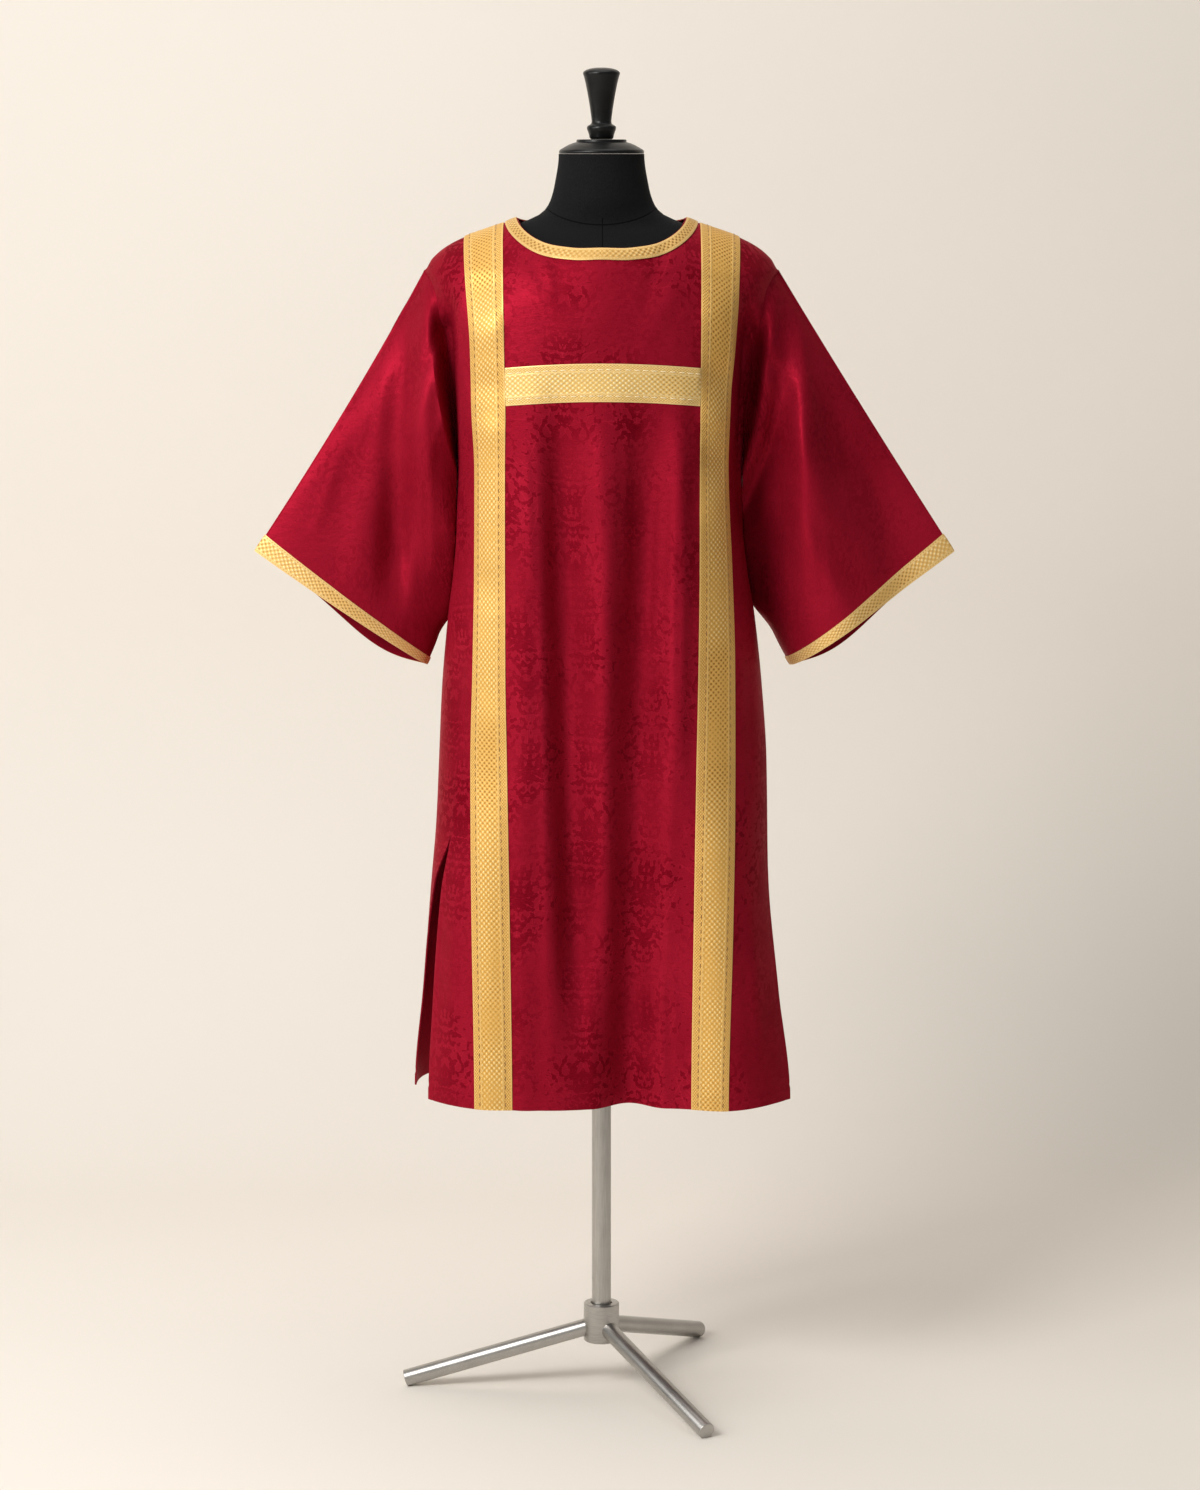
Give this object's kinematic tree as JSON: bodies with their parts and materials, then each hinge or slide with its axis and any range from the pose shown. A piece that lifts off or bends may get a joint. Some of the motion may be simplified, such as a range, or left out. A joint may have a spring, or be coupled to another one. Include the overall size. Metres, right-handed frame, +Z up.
{
  "type": "dalmatic on a limbless dress form",
  "caption": "Wide-sleeved deacon's vestment with side slits, braid bands and crossbar, standing open and hollow on a limbless dress form with a pole and tripod foot.",
  "frame": {"origin": "on the floor under the pole's axis", "axes": "+Z up the pole, -Y the way the garment faces, +X towards the wearer's left sleeve"},
  "size_m": [0.9472, 0.4818, 1.8167],
  "materials": {
    "crimson_damask": "silk damask, foliage ground on ground, satin sheen",
    "gold_galloon": "woven gold braid with raised diamond field",
    "black_jersey": "matt stretch jersey over a firm body",
    "black_turned_wood": "black satin lacquer",
    "brushed_steel": "brushed along the tubes"
  },
  "bodies": {
    "root": {"front_panel": "crimson_damask", "back_panel": "crimson_damask", "sleeve_right": "crimson_damask", "sleeve_left": "crimson_damask", "band_right": "gold_galloon", "band_left": "gold_galloon", "chest_crossbar": "gold_galloon", "neck_binding": "gold_galloon", "cuff_band_right": "gold_galloon", "cuff_band_left": "gold_galloon", "dress_form_torso": "black_jersey", "neck_cap": "black_turned_wood", "finial": "black_turned_wood", "pole": "brushed_steel", "hub": "brushed_steel", "leg_right": "brushed_steel", "leg_front": "brushed_steel", "leg_back": "brushed_steel"}
  },
  "joints": []
}
